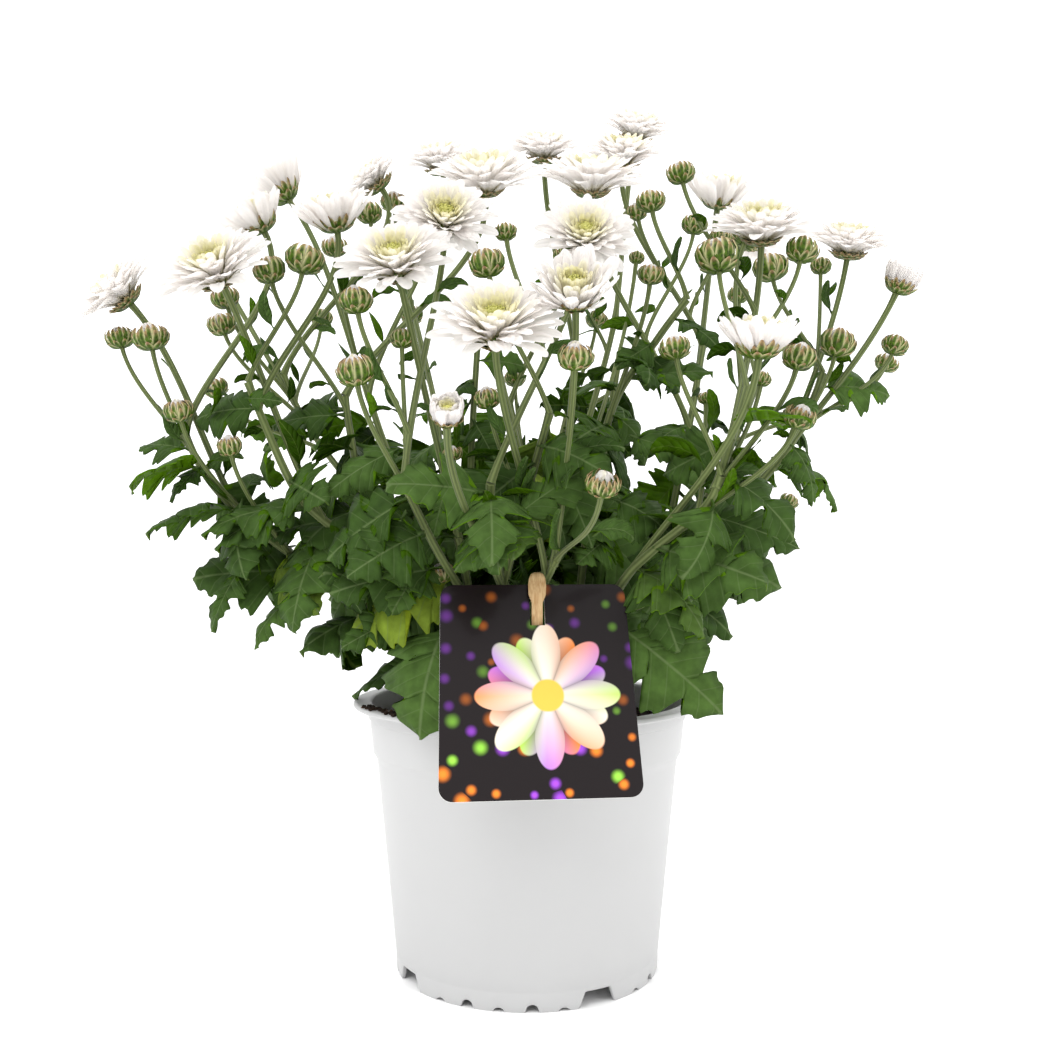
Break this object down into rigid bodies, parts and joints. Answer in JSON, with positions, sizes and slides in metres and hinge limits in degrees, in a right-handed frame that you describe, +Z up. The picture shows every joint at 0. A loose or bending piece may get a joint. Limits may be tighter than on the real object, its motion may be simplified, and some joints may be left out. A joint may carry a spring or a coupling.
{
  "type": "potted chrysanthemum",
  "caption": "White-flowered chrysanthemum in a tapered white plastic nursery pot with a scalloped foot, with a plain card on a wooden pick.",
  "frame": {"origin": "middle of the pot's foot, on the surface that it stands on", "axes": "+Z up, -Y towards the front, where the card is, +X to the right of a viewer at the front"},
  "size_m": [0.2956, 0.2245, 0.3268],
  "materials": {
    "pot": "white polypropylene, faintly satin",
    "soil": "dark moist peat",
    "card": "coated card, near-black with glowing flower and dot pattern",
    "pick": "plain birch, unsealed",
    "stem": "olive-green ridged stems and dark green leaves with a soft bloom",
    "bloom": "white petals, cream at their roots"
  },
  "bodies": {
    "root": {"pot": "pot", "soil": "soil", "label_card": "card", "label_pick": "pick", "stem_front": "stem", "stem_front_left": "stem", "stem_left": "stem", "stem_back_left": "stem", "stem_back": "stem", "stem_right": "stem", "stem_front_right": "stem", "bloom_01": "bloom", "bloom_02": "bloom", "bloom_03": "bloom", "bloom_04": "bloom", "bloom_05": "bloom", "bloom_06": "bloom", "bloom_07": "bloom", "bloom_08": "bloom", "bloom_09": "bloom", "bloom_10": "bloom", "bloom_11": "bloom", "bloom_12": "bloom", "bloom_13": "bloom", "bloom_14": "bloom", "bloom_15": "bloom", "bloom_16": "bloom", "bloom_17": "bloom", "bloom_18": "bloom", "bloom_19": "bloom", "bloom_20": "bloom", "bloom_21": "bloom", "bloom_22": "bloom", "bloom_23": "bloom", "bloom_24": "bloom", "bloom_25": "bloom", "bloom_26": "bloom", "bloom_27": "bloom", "bloom_28": "bloom"}
  },
  "joints": []
}
